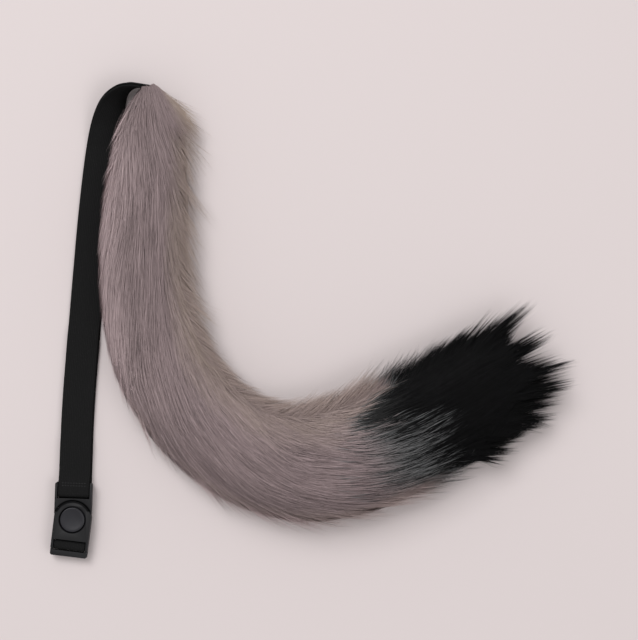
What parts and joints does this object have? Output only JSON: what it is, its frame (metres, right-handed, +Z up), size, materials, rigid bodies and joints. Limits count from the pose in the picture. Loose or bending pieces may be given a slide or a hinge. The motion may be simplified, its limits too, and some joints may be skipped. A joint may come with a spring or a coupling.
{
  "type": "costume tail",
  "caption": "Curled grey fur costume tail with a black brush end, sewn to a folded elastic waist strap with a round-button buckle, lying flat.",
  "frame": {"origin": "under the middle of the whole thing, on the surface that it lies on", "axes": "+Z up from the surface, +X along the length from the strap to the brush's end, +Y from the buckle to the sewn root"},
  "size_m": [0.4182, 0.3786, 0.0635],
  "materials": {
    "grey_fur": "long silky pile",
    "black_fur": "long silky pile",
    "webbing": "woven elastic",
    "buckle_plastic": "moulded",
    "button_plastic": "moulded, satin"
  },
  "bodies": {
    "tail": {"tail_fur": "grey_fur", "brush_fur": "black_fur", "waist_strap": "webbing", "strap_plate": "buckle_plastic", "latch_case": "buckle_plastic"},
    "button": {"push_button": "button_plastic"}
  },
  "joints": [
    {"name": "button_press", "type": "slide", "parent": "tail", "child": "button", "axis": [0, 0, -1], "range_m": [0, 0.001], "stiffness_N_per_m": 600, "springref_m": -0.001}
  ]
}
